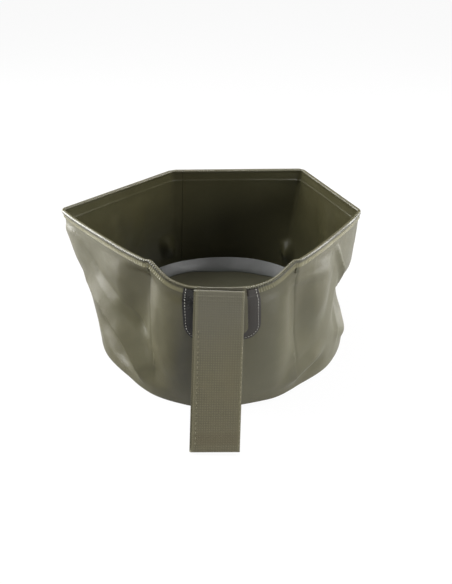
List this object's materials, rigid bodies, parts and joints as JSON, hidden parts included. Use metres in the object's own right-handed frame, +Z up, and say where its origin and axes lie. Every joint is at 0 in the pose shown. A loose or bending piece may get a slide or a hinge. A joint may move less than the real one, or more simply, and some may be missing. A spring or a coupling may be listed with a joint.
{
  "type": "collapsible bucket",
  "caption": "Collapsible bucket of coated cloth with a hexagonal mouth held open by rods in its hem, a round base, and doubled webbing strap handles on reinforcing patches.",
  "frame": {"origin": "the middle of the round base's underside, on the floor it stands on", "axes": "+Z up, -Y towards the front handle, +X to the right as seen from the front"},
  "size_m": [0.352, 0.451, 0.1702],
  "materials": {
    "coated_cloth": "olive-drab cloth with a smooth plastic coating, half glossy, creased",
    "patch_cloth": "charcoal coated cloth, glossier than the wall",
    "webbing": "olive flat-woven webbing, matt, with a tighter edge",
    "rod": "plain grey rod, hidden in the hem"
  },
  "bodies": {
    "base": {"base_disc": "coated_cloth", "base_flange": "coated_cloth", "wall": "coated_cloth"},
    "rim": {"rim_hem": "coated_cloth", "rim_rod_front_left": "rod", "rim_rod_front": "rod", "rim_rod_front_right": "rod", "rim_rod_back_right": "rod", "rim_rod_back": "rod", "rim_rod_back_left": "rod", "front_patch": "patch_cloth", "rear_patch": "patch_cloth", "front_tab": "webbing", "rear_tab": "webbing"},
    "front_handle": {"front_handle_loop": "webbing"},
    "rear_handle": {"rear_handle_loop": "webbing"}
  },
  "joints": [
    {"name": "rim_collapse", "type": "slide", "parent": "base", "child": "rim", "axis": [0, 0, -1], "range_m": [0, 0.1], "deforming": ["wall", "front_patch", "rear_patch", "front_tab", "rear_tab"]},
    {"name": "front_handle_swing", "type": "hinge", "parent": "rim", "child": "front_handle", "pos_m": [0.00033, -0.14883, 0.14552], "axis": [-0.998, 0.0636, 0], "range_deg": [0, 150]},
    {"name": "rear_handle_swing", "type": "hinge", "parent": "rim", "child": "rear_handle", "pos_m": [0.02051, 0.13378, 0.15387], "axis": [0.9946, 0.1035, 0], "range_deg": [0, 150]}
  ]
}
